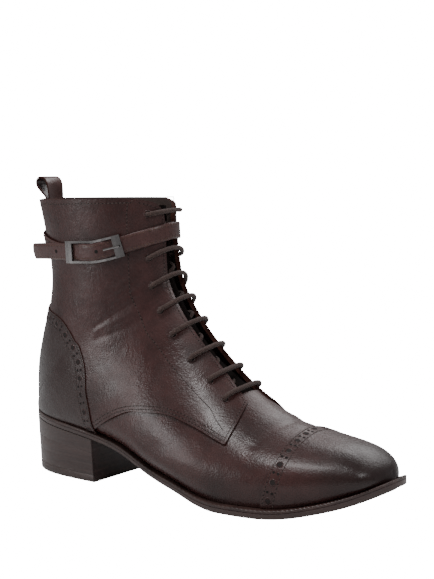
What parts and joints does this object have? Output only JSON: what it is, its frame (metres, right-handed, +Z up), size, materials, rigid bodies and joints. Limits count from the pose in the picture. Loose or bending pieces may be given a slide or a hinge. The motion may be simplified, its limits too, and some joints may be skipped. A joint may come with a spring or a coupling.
{
  "type": "ankle boot",
  "caption": "Lace-up leather ankle boot with a buckled ankle strap, punched toe cap and heel counter, stacked heel and a pull loop at the back of the collar.",
  "frame": {"origin": "centre of the heel block's bottom face, on the floor", "axes": "+X towards the toe, -Y the outer (buckle) side, +Z up"},
  "size_m": [0.2626, 0.0883, 0.1878],
  "materials": {
    "sole": "smooth brown sole, satin edge",
    "welt": "smooth brown leather edge",
    "heel_stack": "stacked leather, fine level grain",
    "lining": "matt lining leather",
    "leather": "dark brown pull-up leather, burnished at toe and heel",
    "lace": "matt woven round cord",
    "gunmetal": "dark polished gunmetal"
  },
  "bodies": {
    "root": {"outsole": "sole", "welt": "welt", "heel_block": "heel_stack", "insole": "lining", "upper": "leather", "quarter_lateral": "leather", "quarter_medial": "leather", "toe_cap": "leather", "heel_counter": "leather", "tongue": "leather", "ankle_strap": "leather", "buckle": "gunmetal", "buckle_prong": "gunmetal", "pull_loop": "leather", "lace_bar_1": "lace", "lace_bar_2": "lace", "lace_bar_3": "lace", "lace_bar_4": "lace", "lace_bar_5": "lace", "lace_bar_6": "lace", "lace_bar_7": "lace", "lace_bar_8": "lace"}
  },
  "joints": []
}
